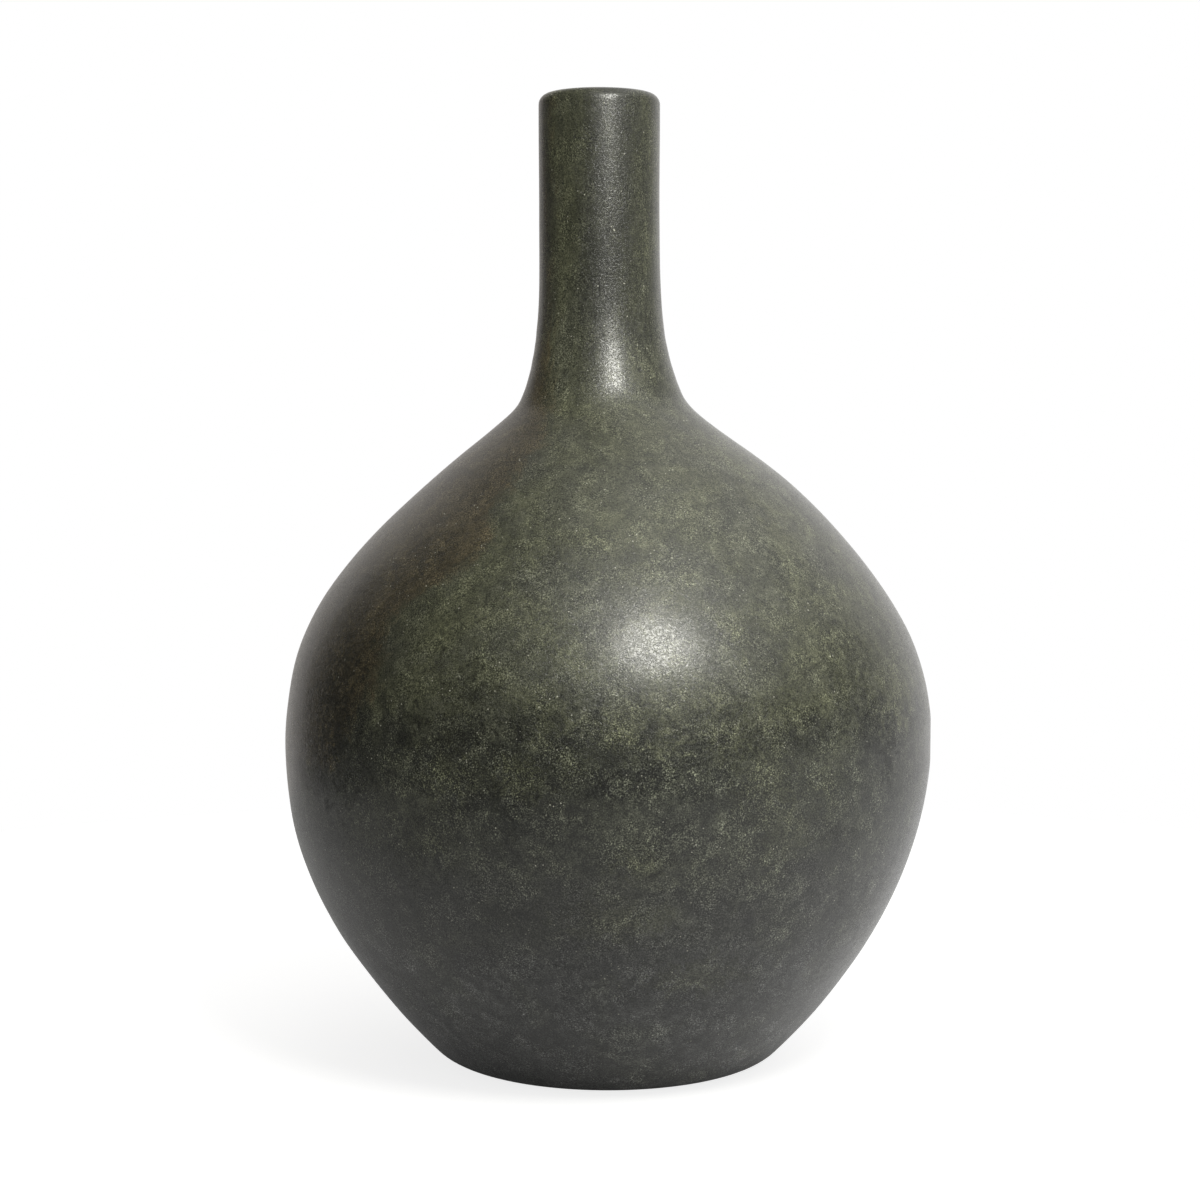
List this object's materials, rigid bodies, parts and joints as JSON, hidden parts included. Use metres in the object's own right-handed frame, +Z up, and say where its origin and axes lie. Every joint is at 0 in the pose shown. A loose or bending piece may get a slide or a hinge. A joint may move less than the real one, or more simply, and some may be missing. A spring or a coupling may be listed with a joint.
{
  "type": "bottle vase",
  "caption": "Round-bodied bottle vase with a narrow neck and a rounded lip: a clay body under a coat of dark burnished plaster, with a felt pad under its foot.",
  "frame": {"origin": "centre of the body's widest ring, on the table under the felt pad", "axes": "+Z up along the body's axis, -X towards the side that the neck leans to, -Y towards the picture's camera"},
  "size_m": [0.302, 0.3018, 0.45],
  "materials": {
    "plaster": "lime plaster, burnished and waxed, clouded olive grey",
    "clay": "fired terracotta, unglazed",
    "coil_clay": "fired terracotta, pressed coil",
    "lining": "dark sealing glaze, glossy",
    "felt": "pressed wool felt"
  },
  "bodies": {
    "root": {"plaster_coat": "plaster", "base_slab": "clay", "lower_bowl": "clay", "upper_shoulder": "clay", "neck_tube": "clay", "base_seam_coil": "coil_clay", "belly_seam_coil": "coil_clay", "neck_seam_coil": "coil_clay", "inner_lining": "lining", "felt_pad": "felt"}
  },
  "joints": []
}
